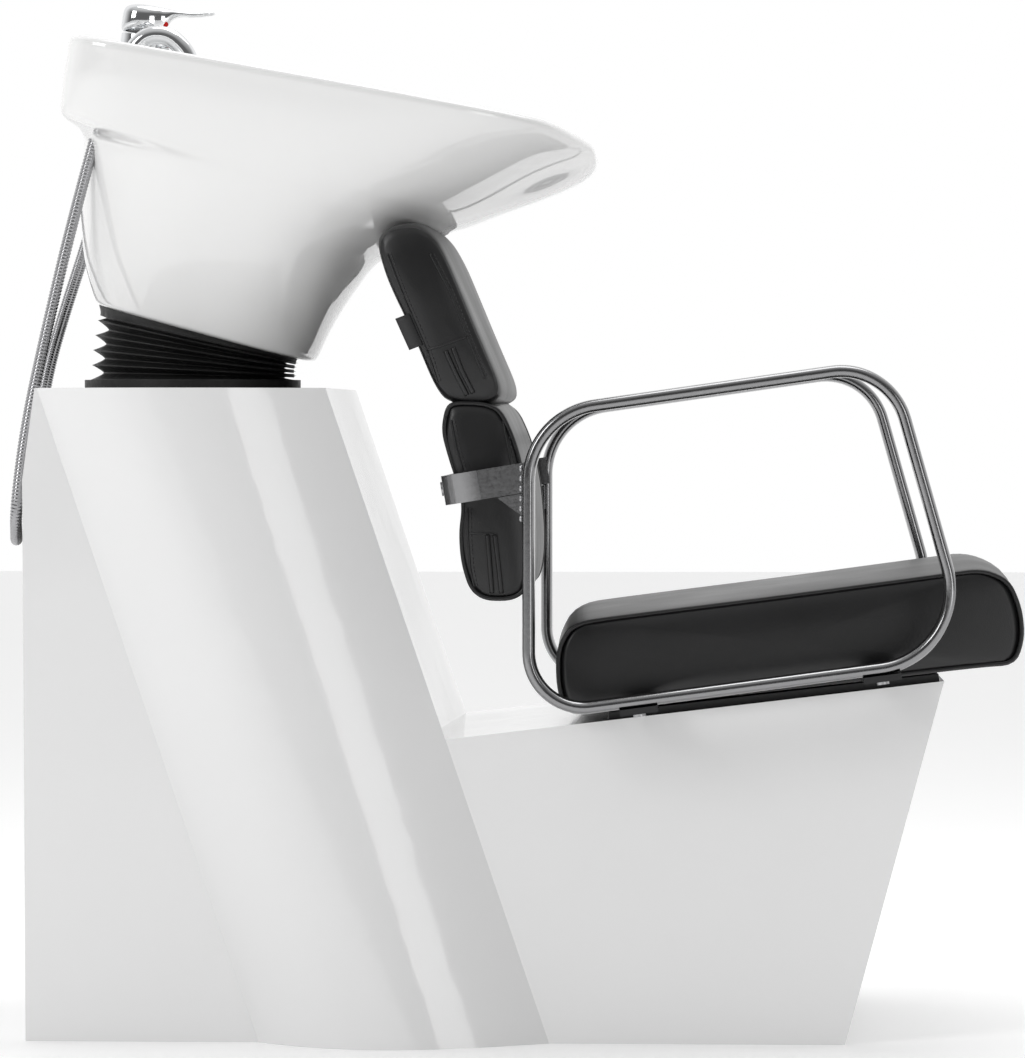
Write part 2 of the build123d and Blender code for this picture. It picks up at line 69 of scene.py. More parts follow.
def skin(rings, close_start=False, close_end=False):
    """Vertices and faces of closed rings joined one after another."""
    count = len(rings[0])
    verts = [p for ring in rings for p in ring]
    faces = []
    for i in range(len(rings) - 1):
        for j in range(count):
            k = (j + 1) % count
            faces.append((i * count + j, i * count + k, (i + 1) * count + k, (i + 1) * count + j))
    if close_start:
        faces.append(tuple(reversed(range(count))))
    if close_end:
        last = (len(rings) - 1) * count
        faces.append(tuple(range(last, last + count)))
    return verts, faces


def blend_rows(rows, steps):
    """Rows of numbers with smooth in-between rows added."""
    out = []
    for i in range(len(rows) - 1):
        a = rows[max(i - 1, 0)]
        b, c = rows[i], rows[i + 1]
        d = rows[min(i + 2, len(rows) - 1)]
        for k in range(steps):
            t = k / steps
            out.append([0.5 * (2 * q + (r - p) * t + (2 * p - 5 * q + 4 * r - s) * t * t
                               + (3 * q - p - 3 * r + s) * t ** 3)
                        for p, q, r, s in zip(a, b, c, d)])
    out.append(list(rows[-1]))
    return out


def smoothstep(low, high, x):
    """Runs from 0 to 1 between two values, level at both ends."""
    t = min(max((x - low) / (high - low), 0.0), 1.0)
    return t * t * (3 - 2 * t)


def tube(name, path, radius, sides=12, ribs=0.0, pitch=0.0):
    """A round tube along close points, ribbed if asked."""
    rings = []
    run = 0.0
    side = None
    for i, point in enumerate(path):
        ahead = (path[min(i + 1, len(path) - 1)] - path[max(i - 1, 0)]).normalized()
        if side is None:
            side = ahead.orthogonal().normalized()
        side = (side - ahead * side.dot(ahead)).normalized()
        up = ahead.cross(side)
        if i:
            run += (point - path[i - 1]).length
        r = radius
        if pitch:
            r += ribs * (0.5 * math.cos(2 * math.pi * run / pitch) - 0.5)
        rings.append([point + (side * math.cos(a) + up * math.sin(a)) * r
                      for a in (2 * math.pi * j / sides for j in range(sides))])
    return mesh_object(name, *skin(rings, True, True))


def nurbs_line(points, spacing, cyclic=False):
    """Points read from the smooth NURBS line of a route, about one spacing apart."""
    curve = bpy.data.curves.new("route", "CURVE")
    curve.dimensions = "3D"
    spline = curve.splines.new("NURBS")
    spline.points.add(len(points) - 1)
    for target, point in zip(spline.points, points):
        target.co = (*point, 1.0)
    spline.order_u = 3
    spline.use_endpoint_u = not cyclic
    spline.use_cyclic_u = cyclic
    spline.resolution_u = 24
    holder = bpy.data.objects.new("route", curve)
    bpy.context.scene.collection.objects.link(holder)
    bpy.context.view_layer.update()
    mesh = bpy.data.meshes.new_from_object(holder)
    line = [v.co.copy() for v in mesh.vertices]
    bpy.data.objects.remove(holder)
    return even_line(line, spacing)


def even_line(line, spacing):
    """The same line with its points an even distance apart."""
    total = sum((b - a).length for a, b in zip(line, line[1:]))
    count = max(int(total / spacing), 2)
    step = total / count
    out = [line[0].copy()]
    need = step
    for a, b in zip(line, line[1:]):
        length = (b - a).length
        start = 0.0
        while length - start >= need and len(out) < count:
            start += need
            out.append(a.lerp(b, start / length))
            need = step
        need -= length - start
    out.append(line[-1].copy())
    return out


def line_length(line):
    return sum((b - a).length for a, b in zip(line, line[1:]))


# ---- materials ----------------------------------------------------------------------------
def new_material(name, color, rough, metal=0.0, coat=0.0, specular=0.5):
    """A plain material, with its node tree and shader for more to be linked in."""
    material = bpy.data.materials.new(name)
    material.use_nodes = True
    tree = material.node_tree
    shader = tree.nodes["Principled BSDF"]
    shader.inputs["Base Color"].default_value = (*color, 1)
    shader.inputs["Roughness"].default_value = rough
    shader.inputs["Metallic"].default_value = metal
    shader.inputs["Coat Weight"].default_value = coat
    shader.inputs["Coat Roughness"].default_value = 0.04
    shader.inputs["Specular IOR Level"].default_value = specular
    return material, tree, shader


def noise(tree, scale, detail=4.0, stretch=(1, 1, 1)):
    """A noise pattern fixed to the object."""
    place = tree.nodes.new("ShaderNodeTexCoord")
    mapping = tree.nodes.new("ShaderNodeMapping")
    mapping.inputs["Scale"].default_value = stretch
    pattern = tree.nodes.new("ShaderNodeTexNoise")
    pattern.inputs["Scale"].default_value = scale
    pattern.inputs["Detail"].default_value = detail
    tree.links.new(place.outputs["Object"], mapping.inputs["Vector"])
    tree.links.new(mapping.outputs["Vector"], pattern.inputs["Vector"])
    return pattern.outputs["Fac"]


def ramp(tree, value, low, high, first, last):
    """Maps a pattern to a range of numbers."""
    node = tree.nodes.new("ShaderNodeMapRange")
    node.inputs["From Min"].default_value = low
    node.inputs["From Max"].default_value = high
    node.inputs["To Min"].default_value = first
    node.inputs["To Max"].default_value = last
    tree.links.new(value, node.inputs["Value"])
    return node.outputs["Result"]


def tint(tree, value, dark, light):
    """Colour that varies between two shades with a pattern."""
    node = tree.nodes.new("ShaderNodeMix")
    node.data_type = "RGBA"
    node.inputs["A"].default_value = (*dark, 1)
    node.inputs["B"].default_value = (*light, 1)
    tree.links.new(value, node.inputs["Factor"])
    return node.outputs["Result"]


def bump(tree, shader, value, strength, distance):
    """Turns a pattern into fine relief."""
    node = tree.nodes.new("ShaderNodeBump")
    node.inputs["Strength"].default_value = strength
    node.inputs["Distance"].default_value = distance
    tree.links.new(value, node.inputs["Height"])
    tree.links.new(node.outputs["Normal"], shader.inputs["Normal"])


def finish_material(name, color, rough, spread, scale, depth, metal=0.0, coat=0.0, vary=0.06,
                    stretch=(1, 1, 1)):
    """A material whose colour, roughness and fine relief all vary a little."""
    material, tree, shader = new_material(name, color, rough, metal, coat)
    fine = noise(tree, scale, 5.0, stretch)
    broad = noise(tree, 9.0, 3.0)
    dark = tuple(c * (1 - vary) for c in color)
    tree.links.new(tint(tree, broad, dark, color), shader.inputs["Base Color"])
    tree.links.new(ramp(tree, fine, 0.3, 0.7, rough, rough + spread), shader.inputs["Roughness"])
    bump(tree, shader, fine, 0.25, depth)
    return material


def leather_material():
    """Black upholstery leather with a fine pebbled grain and softer sheen on worn spots."""
    material, tree, shader = new_material("black_leather", (0.006, 0.006, 0.0065), 0.4, specular=0.55)
    place = tree.nodes.new("ShaderNodeTexCoord")
    cells = tree.nodes.new("ShaderNodeTexVoronoi")
    cells.feature = "DISTANCE_TO_EDGE"
    cells.inputs["Scale"].default_value = 520.0
    tree.links.new(place.outputs["Object"], cells.inputs["Vector"])
    wrinkle = noise(tree, 60.0, 6.0)
    add = tree.nodes.new("ShaderNodeMath")
    add.operation = "MULTIPLY_ADD"
    add.inputs[1].default_value = 0.6
    tree.links.new(cells.outputs["Distance"], add.inputs[0])
    tree.links.new(wrinkle, add.inputs[2])
    bump(tree, shader, add.outputs["Value"], 0.3, 0.0005)
    broad = noise(tree, 7.0, 3.0)
    tree.links.new(ramp(tree, broad, 0.3, 0.7, 0.33, 0.46), shader.inputs["Roughness"])
    tree.links.new(tint(tree, broad, (0.004, 0.004, 0.0045), (0.009, 0.009, 0.0095)),
                   shader.inputs["Base Color"])
    return material


def make_materials():
    """Every slot's material: name, colour, roughness, its spread, pattern scale, relief depth."""
    make = finish_material
    return {
        "white_shell": make("white_shell", (0.88, 0.88, 0.88), 0.10, 0.05, 14.0, 0.0009, coat=0.6, vary=0.02),
        "ceramic": make("ceramic", (0.90, 0.90, 0.895), 0.06, 0.04, 11.0, 0.0006, coat=1.0, vary=0.015),
        "black_leather": leather_material(),
        "rubber": make("rubber", (0.012, 0.012, 0.012), 0.42, 0.18, 160.0, 0.0004, vary=0.3),
        "chrome": make("chrome", (0.78, 0.79, 0.80), 0.05, 0.05, 220.0, 0.00006, metal=1.0, vary=0.04),
        "dark_chrome": make("dark_chrome", (0.30, 0.30, 0.305), 0.12, 0.08, 260.0, 0.0001, metal=1.0,
                            vary=0.08),
        "steel": make("steel", (0.50, 0.50, 0.51), 0.28, 0.14, 90.0, 0.0002, metal=1.0,
                      stretch=(1, 12, 1)),
        "painted_steel": make("painted_steel", (0.015, 0.015, 0.016), 0.35, 0.12, 300.0, 0.0003, vary=0.2),
        "plastic": make("plastic", (0.70, 0.70, 0.69), 0.38, 0.1, 180.0, 0.0002),
        "brass": make("brass", (0.62, 0.44, 0.17), 0.25, 0.12, 120.0, 0.0001, metal=1.0, vary=0.12),
        "board": make("board", (0.42, 0.29, 0.16), 0.6, 0.15, 24.0, 0.0006, vary=0.35, stretch=(1, 14, 1)),
        "red_mark": make("red_mark", (0.62, 0.02, 0.015), 0.2, 0.05, 80.0, 0.00005),
        "hose_metal": make("hose_metal", (0.42, 0.42, 0.43), 0.16, 0.12, 260.0, 0.0001, metal=1.0, vary=0.15),
        "thread": make("thread", (0.035, 0.035, 0.036), 0.6, 0.15, 900.0, 0.0003, vary=0.2),
    }


MATERIALS = make_materials()


def dress(piece, name):
    """Gives a piece its material."""
    piece.data.materials.clear()
    piece.data.materials.append(MATERIALS[name])


def bevel(piece, width, segments=3, angle=35.0):
    """Rounds the crisp edges of a piece."""
    modifier = piece.modifiers.new("edges", "BEVEL")
    modifier.width = width
    modifier.segments = segments
    modifier.limit_method = "ANGLE"
    modifier.angle_limit = math.radians(angle)
    modifier.harden_normals = False


def dress_cad_nodes():
    """Every kept CAD node gets its slot's material and soft shading between crisp edges."""
    for part in frame["record"]["subparts"]:
        node = NODES[part["node"]]
        node.data.materials.clear()
        node.data.materials.append(MATERIALS[part["material_slot"]])
        node.data.polygons.foreach_set("use_smooth", [True] * len(node.data.polygons))
        node.data.set_sharp_from_angle(angle=math.radians(32))


# ---- bowl ---------------------------------------------------------------------------------
SIDES = 144
RIM_REAR = (-193.0, 245.0)
RIM_SLOPE = 0.0869
DECK_SLOPE = math.tan(math.radians(7.9))
DECK_AT = (-145.0, 232.0)
# height, rear, front, half width, middle, squareness behind, squareness in front
OUTER_ROWS = [(0, -112, 94, 118, 0, 2.6, 2.5), (2, -119, 102, 127, 0, 2.6, 2.5),
              (9, -125, 106, 133, 0, 2.6, 2.5), (36, -140, 111, 150, 0, 2.6, 2.5),
              (59, -149, 117, 164, 4, 2.6, 2.5), (88, -158, 127, 179, 8, 2.6, 2.5),
              (114, -165, 139, 192, 12, 2.6, 2.5), (140, -169, 168, 206, 18, 2.7, 2.4),
              (157, -172, 195, 215, 24, 3.0, 2.4), (164, -177, 204, 219, 26, 4.0, 2.4),
              (170, -183, 214, 222, 28, 7.0, 2.4), (180, -186, 227, 226, 31, 9.0, 2.5),
              (205, -188, 257, 236, 38, 9.0, 2.6), (232, -190, 290, 243, 44, 9.0, 2.8),
              (252, -191, 314, 246, 50, 9.0, 3.0), (262, -192, 323, 247, 50, 9.0, 3.1),
              (270, -193, 327, 248, 50, 9.0, 3.1)]
BASIN_ROWS = [(226, -98, 232, 212, 20, 5.0, 2.7), (212, -95, 204, 206, 16, 4.6, 2.6),
              (185, -95, 172, 198, 10, 4.0, 2.6), (130, -95, 118, 170, 4, 3.2, 2.5),
              (85, -94, 98, 146, 0, 2.8, 2.5), (50, -90, 84, 120, -4, 2.6, 2.4),
              (28, -80, 66, 92, -14, 2.4, 2.3), (19, -68, 36, 62, -30, 2.2, 2.2),
              (16.6, -60 - 27, -60 + 27, 27, -60, 2.0, 2.0), (16.2, -83, -37, 23, -60, 2.0, 2.0)]


def plan_point(row, angle):
    """A point on one plan outline of the bowl, in its own frame in millimetres."""
    _, rear, front, half, middle, behind, ahead = row
    c, s = math.cos(angle), math.sin(angle)
    power = ahead if c >= 0 else behind
    across = math.copysign(abs(s) ** (2 / power), s) * half
    along = abs(c) ** (2 / power)
    return (middle + (front - middle) * along if c >= 0 else middle - (middle - rear) * along), across


def rim_height(u, y):
    """The rim rises towards the front and dips where the neck lies."""
    line = RIM_REAR[1] + RIM_SLOPE * (u - RIM_REAR[0])
    dip = 21 * math.exp(-(y / 78) ** 4) * smoothstep(120, 300, u)
    corner = 10 * smoothstep(265, 330, u)
    return line - dip - corner * (1 - math.exp(-(y / 78) ** 4))


def deck_height(u):
    return DECK_AT[1] + DECK_SLOPE * (u - DECK_AT[0])


def bowl_point(u, y, v):
    return BOWL_SEAT + (U_AXIS * u + V_AXIS * v + Vector((0, y, 0))) * MM


def angles():
    """The even angles at which every plan outline is drawn."""
    return [2 * math.pi * j / SIDES for j in range(SIDES)]


def make_bowl():
    """Glazed bowl: outer skin, rolled rim, deck shelf, basin and drain mouth in one skin."""
    top = OUTER_ROWS[-1][0]
    rings = []
    for row in blend_rows(OUTER_ROWS, 3):
        ring = []
        for angle in angles():
            u, y = plan_point(row, angle)
            share = smoothstep(150, top, row[0])
            v = row[0] + share * (rim_height(u, y) - 8 - top)
            ring.append(bowl_point(u, y, v))
        rings.append(ring)
    for inset, drop in ((0, 4.5), (1.5, 1.8), (4.5, 0.2), (8, 0), (11, 1.2), (13, 4), (14, 8)):
        rings.append([rim_point(angle, inset, drop) for angle in angles()])
    shelf = []
    for row, lift in (((0, -176, 300, 229, 48, 8.0, 3.1), 3.5), ((0, -173, 284, 226, 46, 7.5, 3.1), 0.4),
                      ((0, -168, 272, 223, 42, 7.0, 3.0), 0), ((0, -114, 248, 218, 28, 5.6, 2.9), 0),
                      ((0, -105, 241, 215, 24, 5.3, 2.8), -1.5)):
        ring = []
        for angle in angles():
            u, y = plan_point(row, angle)
            low = rim_height(u, y) - 15 - 14 * smoothstep(-173, -105, row[1]) * smoothstep(-40, 60, u)
            near = smoothstep(-30, -110, u)
            ring.append(bowl_point(u, y, low * (1 - near) + (deck_height(u) + lift) * near))
        shelf.append(ring)
    rings += shelf
    basin = blend_rows(BASIN_ROWS, 3)
    for row in basin:
        rings.append([bowl_point(*plan_point(row, angle), basin_height(row, angle)) for angle in angles()])
    verts, faces = skin(rings, True, False)
    return mesh_object("bowl_glazed", verts, faces)


def basin_height(row, angle):
    """Basin rows near the top follow the rim's rise towards the front."""
    u, y = plan_point(row, angle)
    follow = smoothstep(120, 226, row[0]) * smoothstep(-60, 120, u)
    return row[0] + follow * (rim_height(u, y) - 262)


def rim_point(angle, inset, drop):
    row = list(OUTER_ROWS[-1])
    row[1] += inset
    row[2] -= inset * 1.4
    row[3] -= inset
    u, y = plan_point(row, angle)
    return bowl_point(u, y, rim_height(u, y) - drop)


# ---- upholstery ---------------------------------------------------------------------------
def smooth_outline(points, rounds=3):
    """Outline with its corners cut again and again until it runs smooth."""
    line = [Vector((x, z)) for x, z in points]
    for _ in range(rounds):
        out = []
        for i, here in enumerate(line):
            after = line[(i + 1) % len(line)]
            out += [here.lerp(after, 0.22), here.lerp(after, 0.78)]
        line = out
    return line


def even_outline(line, count):
    """A closed outline with its points an even distance apart."""
    closed = [Vector((p.x, p.y, 0)) for p in line] + [Vector((line[0].x, line[0].y, 0))]
    return [Vector((p.x, p.y)) for p in even_line(closed, line_length(closed) / count)[:-1]]


def outward(line, i):
    """A direction square to an outline at one of its points."""
    ahead = (line[(i + 1) % len(line)] - line[i - 1]).normalized()
    return Vector((ahead.y, -ahead.x))


SEAT_HALF = 228.0     # half widths between the pads' side seams
BACK_HALF = 215.0
PAD_SWELL = 7.0       # how far a side panel stands out at its middle
PANEL_SWELL = [(0.25, 1.0), (0.5, 0.85), (0.72, 0.55), (0.88, 0.2), (0.955, -0.143)]


def make_pad(name, outline, half, lift, crown):
    """A boxed cushion: a soft wrap between two sewn side panels that swell a little."""
    count = 180
    line = even_outline(smooth_outline(outline), count)
    area = sum(a.x * b.y - b.x * a.y for a, b in zip(line, line[1:] + line[:1]))
    turn = 1 if area > 0 else -1
    normals = [outward(line, i) * turn for i in range(len(line))]
    centre = sum(line, Vector((0, 0))) / len(line)
    profile = [(share, -half - PAD_SWELL * rise) for share, rise in PANEL_SWELL]
    soft_edge = 26
    seam = [(-3.2, -half + 2.0), (-4.4, -half + 4.2), (-3.2, -half + 6.4), (-1.6, -half + 10),
            (-0.6, -half + 16), (0.0, -half + soft_edge)]
    rings = []
    for share, y in profile:
        rings.append([(centre + (p - centre) * share, y, p) for p in line])
    for inset, y in seam:
        rings.append([(p + n * inset, y, p) for p, n in zip(line, normals)])
    spans = 26
    for k in range(1, spans):
        y = -half + soft_edge + 2 * (half - soft_edge) * k / spans
        rings.append([(p, y, p) for p in line])
    rings += [[(q, -y, p) for q, y, p in ring] for ring in reversed(rings[:len(seam) + len(profile)])]
    placed = []
    for ring in rings:
        out = []
        for (q, y, p), n in zip(ring, normals):
            swell = crown * (1 - (y / half) ** 2) if abs(y) < half else 0
            shift = lift(q, y) if lift else Vector((0, 0))
            spot = q + n * swell * (0.35 + 0.65 * max(n.y, 0)) + shift
            out.append(Vector((spot.x, y, spot.y)) * MM)
        placed.append(out)
    verts, faces = skin(placed)
    last_ring = len(verts) - count
    for ring_start, flip in ((0, True), (last_ring, False)):
        y = -half - PAD_SWELL if flip else half + PAD_SWELL
        verts.append(Vector((centre.x, y, centre.y)) * MM)
        tip = len(verts) - 1
        for j in range(count):
            k = (j + 1) % count
            faces.append((ring_start + k, ring_start + j, tip) if flip
                         else (ring_start + j, ring_start + k, tip))
    pad = mesh_object(name, verts, faces)
    return pad, line, normals


def seam_tube(name, line, normals, inset, y, radius):
    """Piping that follows the outline of a side panel."""
    path = [Vector((p.x + n.x * inset, y, p.y + n.y * inset)) * MM for p, n in zip(line, normals)]
    path.append(path[0].copy())
    return tube(name, path, radius * MM, 8)


def stitches(name, path, pitch, long, radius, lift):
    """Short raised stitches along a line, each lying on the leather."""
    verts, faces = [], []
    line = even_line(path, pitch)
    for a, b in zip(line, line[1:]):
        ahead = (b - a).normalized()
        side = ahead.cross(lift).normalized() * radius
        up = lift.normalized() * radius
        middle = (a + b) / 2
        base = len(verts)
        for end, thin in ((-0.5, 0.35), (-0.3, 1), (0.3, 1), (0.5, 0.35)):
            spot = middle + ahead * long * end
            for j in range(6):
                angle = math.pi * j / 3
                verts.append(spot + (side * math.cos(angle) + up * math.sin(angle)) * thin)
        for i in range(3):
            for j in range(6):
                k = (j + 1) % 6
                faces.append((base + i * 6 + j, base + i * 6 + k, base + i * 6 + 6 + k, base + i * 6 + 6 + j))
        faces.append(tuple(base + j for j in reversed(range(6))))
        faces.append(tuple(base + 18 + j for j in range(6)))
    return mesh_object(name, verts, faces)


SEAT_OUTLINE = [(46, 318), (36, 340), (35, 380), (50, 405), (100, 412), (250, 431), (405, 452), (440, 457),
                (466, 446), (477, 420), (480, 392), (472, 366), (440, 364), (330, 351), (120, 327), (70, 319)]
UPPER_OUTLINE = [(-137, 762), (-128, 732), (-105, 684), (-79, 622), (-60, 613), (-28, 613), (-15, 624),
                 (-38, 677), (-55, 718), (-70, 754), (-82, 775), (-100, 787), (-124, 784), (-136, 774)]
LOWER_OUTLINE = [(-71, 611), (-75, 588), (-68, 562), (-58, 532), (-55, 514), (-58, 490), (-56, 462),
                 (-48, 436), (-34, 426), (-8, 426), (6, 435), (11, 472), (6, 535), (-4, 577), (-18, 608),
                 (-34, 615), (-62, 616)]


def under_bowl(q, y):
    """The pad's head is pressed down where the bowl lies over it."""
    point = Vector((q.x, 0, q.y)) * MM - BOWL_SEAT
    u, v = point.dot(U_AXIS) / MM, point.dot(V_AXIS) / MM
    floor = underside(u, y)
    over = max(v + 3 - floor, 0.0)
    return Vector((-over * V_AXIS.x, -over * V_AXIS.z))


def underside(u, y):
    """Height of the bowl's lower skin over a place in its own frame, taken generously low."""
    rows = OUTER_ROWS
    for low, high in zip(rows, rows[1:]):
        share_low = reach(low, y)
        share_high = reach(high, y)
        if share_high >= u:
            if share_low >= u:
                return low[0]
            return low[0] + (high[0] - low[0]) * (u - share_low) / max(share_high - share_low, 1e-6)
    return rows[-1][0]


def reach(row, y):
    """How far forward one plan outline reaches at a distance to the side."""
    _, _, front, half, middle, _, ahead = row
    share = min(abs(y) / half, 1.0)
    if share >= 1.0:
        return -1000.0
    return middle + (front - middle) * (1 - share ** ahead) ** (1 / ahead)


def seat_and_back():
    """The seat pad, the two back pads, their piping and their sewn details."""
    lines = {}
    for name, outline, half, node, crown, lift in (
            ("seat_pad", SEAT_OUTLINE, SEAT_HALF, "seat_cushion", 8.0, None),
            ("upper_back_pad", UPPER_OUTLINE, BACK_HALF, "backrest_upper_pad", 6.0, under_bowl),
            ("lower_back_pad", LOWER_OUTLINE, BACK_HALF, "backrest_lower_pad", 5.0, None)):
        pad, line, normals = make_pad(name, outline, half, lift, crown)
        lines[name.split("_")[0]] = line
        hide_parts(node)
        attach(pad, "seat")
        dress(pad, "black_leather")
        for side in (-1, 1):
            word = "near" if side < 0 else "far"
            if name == "upper_back_pad":
                continue
            piping = seam_tube(f"{name}_piping_{word}", line, normals, -1.2, side * (half - 1.2), 2.2)
            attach(piping, "seat")
            dress(piping, "black_leather")
    sewn_details(lines)


def panel_rise(line, x, z):
    """How far a swollen side panel stands out over a place on it."""
    centre = sum(line, Vector((0, 0))) / len(line)
    arm = Vector((x, z)) - centre
    edge = min(line, key=lambda p: abs(arm.angle(p - centre)))
    share = arm.length / (edge - centre).length
    steps = [(0.0, 1.0)] + PANEL_SWELL + [(1.0, -0.36)]
    for (low, first), (high, last) in zip(steps, steps[1:]):
        if share <= high:
            return PAD_SWELL * (first + (last - first) * (share - low) / (high - low))
    return PAD_SWELL * steps[-1][1]


def panel_path(line, points, side, proud):
    """A line drawn over a side panel, lying on its swell."""
    flat = even_line([Vector((x, 0, z)) for x, z in points], 2.0)
    return [Vector((p.x, side * (BACK_HALF + panel_rise(line, p.x, p.z) + proud), p.z)) * MM for p in flat]


SEAM_RADIUS = 0.0011
LIP_RADIUS = 0.0024
STITCH_PITCH, STITCH_LONG, STITCH_RADIUS = 0.0042, 0.003, 0.0005
# routes over a side panel: distance forward, height
SEAMS = {
    "upper_rear": [(-127, 757), (-111, 715), (-88, 662), (-79, 634)],
    "upper_front": [(-86, 757), (-68, 723), (-51, 680), (-34, 638)],
    "upper_cross": [(-89, 665), (-70, 671), (-51, 678)],
    "lower_rear": [(-66, 598), (-61, 572), (-54, 548)],
    "lower_heel": [(-50, 514), (-50, 488), (-48, 457), (-44, 438)],
    "lower_front": [(-17, 600), (-12, 574), (-8, 552)],
    "lower_cross": [(-49, 490), (-37, 490), (-24, 489)],
}
FOLDS = {
    "upper_slit": [(-71, 664), (-62, 644), (-51, 622)],
    "upper_fold": [(-64, 667), (-56, 646), (-45, 624)],
    "lower_slit": [(-31, 488), (-29, 462), (-27, 433)],
    "lower_fold": [(-24, 488), (-21, 462), (-18, 433)],
}


def sewn_details(lines):
    """Seams, folded slits and stitches on the pads' side panels, and a plain blank tag."""
    for side in (-1, 1):
        word = "near" if side < 0 else "far"
        away = Vector((0, side, 0))
        for part, points in SEAMS.items():
            line = lines[part.split("_")[0]]
            cord = tube(f"seam_{part}_{word}", panel_path(line, points, side, 0.0), SEAM_RADIUS, 8)
            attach(cord, "seat")
            dress(cord, "black_leather")
            beside = [(x + 3.2, z + 0.6) for x, z in points]
            sewn = stitches(f"stitches_{part}_{word}", panel_path(line, beside, side, 0.4),
                            STITCH_PITCH, STITCH_LONG, STITCH_RADIUS, away)
            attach(sewn, "seat")
            dress(sewn, "thread")
        for part, points in FOLDS.items():
            line = lines[part.split("_")[0]]
            lip = tube(f"{part}_{word}", panel_path(line, points, side, 0.3), LIP_RADIUS, 10)
            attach(lip, "seat")
            dress(lip, "black_leather")
    make_tag()


def make_tag():
    """Plain woven tag, with nothing on it, sewn into the rear seam."""
    rings = []
    for k in range(9):
        t = k / 8
        z = 0.700 - 0.030 * t
        x = -0.1065 + 0.0135 * t
        bow = 0.0012 * math.sin(math.pi * t)
        rings.append([Vector((x - 0.013, -0.2195 - bow, z - 0.005)), Vector((x, -0.2190, z)),
                      Vector((x, -0.2180, z)), Vector((x - 0.013, -0.2185 - bow, z - 0.005))])
    tag = mesh_object("blank_tag", *skin(rings, True, True))
    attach(tag, "seat")
    dress(tag, "thread")


# ---- armrests -----------------------------------------------------------------------------
ARM_CORNERS = [(10.3, 603.0, 72.0), (349.4, 651.2, 62.0), (427.8, 375.9, 75.0), (10.3, 319.6, 52.0)]
ARM_HALF = (6.0, 14.0)    # half the tube's size: in the loop's plane, across it
ARM_SIDES = 28
ARM_Y = 280.0
BEAD_HALF = (1.9, 3.4)    # weld bead: half width, half length
BEAD_PITCH = 9.5


def rounded_loop(corners, step):
    """Points round a closed outline whose corners are arcs of the given radii."""
    out = []
    count = len(corners)
    for i in range(count):
        before, here, after = (Vector(corners[(i + k) % count][:2]) for k in (-1, 0, 1))
        radius = corners[i][2]
        into, away = (here - before).normalized(), (after - here).normalized()
        turn = into.angle_signed(away)
        cut = radius * math.tan(abs(turn) / 2)
        centre = here - into * cut + Vector((into.y, -into.x)) * math.copysign(radius, turn)
        arm = here - into * cut - centre
        steps = max(int(abs(turn) * radius / step), 8)
        for k in range(steps + 1):
            angle = -turn * k / steps
            c, s = math.cos(angle), math.sin(angle)
            out.append(centre + Vector((arm.x * c - arm.y * s, arm.x * s + arm.y * c)))
    return out


def make_armrests():
    """Bent flat-oval tubes with softly rounded flanks."""
    flat = rounded_loop(ARM_CORNERS, 3.0)
    closed = [Vector((p.x, 0, p.y)) for p in flat]
    line = even_line(closed + [closed[0]], 4.0)[:-1]
    for word, side in (("right", -1), ("left", 1)):
        rings = []
        for i, point in enumerate(line):
            ahead = (line[(i + 1) % len(line)] - line[i - 1]).normalized()
            out = Vector((-ahead.z, 0, ahead.x))
            ring = []
            for j in range(ARM_SIDES):
                angle = 2 * math.pi * j / ARM_SIDES
                c, s = math.cos(angle), math.sin(angle)
                across = math.copysign(abs(c) ** 0.72, c) * ARM_HALF[0]
                deep = math.copysign(abs(s) ** 0.62, s) * ARM_HALF[1]
                ring.append((point + out * across + Vector((0, side * ARM_Y + deep, 0))) * MM)
            rings.append(ring)
        rings.append(rings[0])
        verts, faces = skin(rings)
        count = len(rings[0])
        verts = verts[:-count]
        faces = [tuple(v % len(verts) for v in face) for face in faces]
        loop = mesh_object(f"armrest_tube_{word}", verts, faces)
        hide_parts(f"arm_loop_{word}")
        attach(loop, "seat")
        dress(loop, "dark_chrome")


def make_weld_beads():
    """Small weld beads where the strap meets the armrests."""
    for word, side in (("right", -1), ("left", 1)):
        verts, faces = [], []
        for k in range(6):
            centre = Vector((2.6, side * (ARM_Y - 12.0), 505.0 + BEAD_PITCH * k)) * MM
            base = len(verts)
            for i in range(1, 6):
                lat = math.pi * i / 6
                for j in range(10):
                    lon = 2 * math.pi * j / 10
                    verts.append(centre + Vector((BEAD_HALF[0] * math.sin(lat) * math.cos(lon),
                                                  BEAD_HALF[0] * math.sin(lat) * math.sin(lon),
                                                  BEAD_HALF[1] * math.cos(lat))) * MM)
            for i in range(4):
                for j in range(10):
                    n = (j + 1) % 10
                    faces.append((base + i * 10 + j, base + (i + 1) * 10 + j,
                                  base + (i + 1) * 10 + n, base + i * 10 + n))
            faces.append(tuple(base + j for j in range(10)))
            faces.append(tuple(base + 40 + j for j in reversed(range(10))))
        beads = mesh_object(f"weld_beads_{word}", verts, faces)
        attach(beads, "seat")
        dress(beads, "steel")


# ---- tap ----------------------------------------------------------------------------------
TAP_LEAN = math.radians(7.3)
TAP_FOOT = BOWL_SEAT + (U_AXIS * -143.0 + V_AXIS * 232.0) * MM


def tap_point(x, y, z):
    """A point in the mixer's own leaning frame, given in millimetres."""
    along = Vector((math.cos(TAP_LEAN), 0, -math.sin(TAP_LEAN)))
    up = Vector((math.sin(TAP_LEAN), 0, math.cos(TAP_LEAN)))
    return TAP_FOOT + (along * x + Vector((0, y, 0)) + up * z) * MM


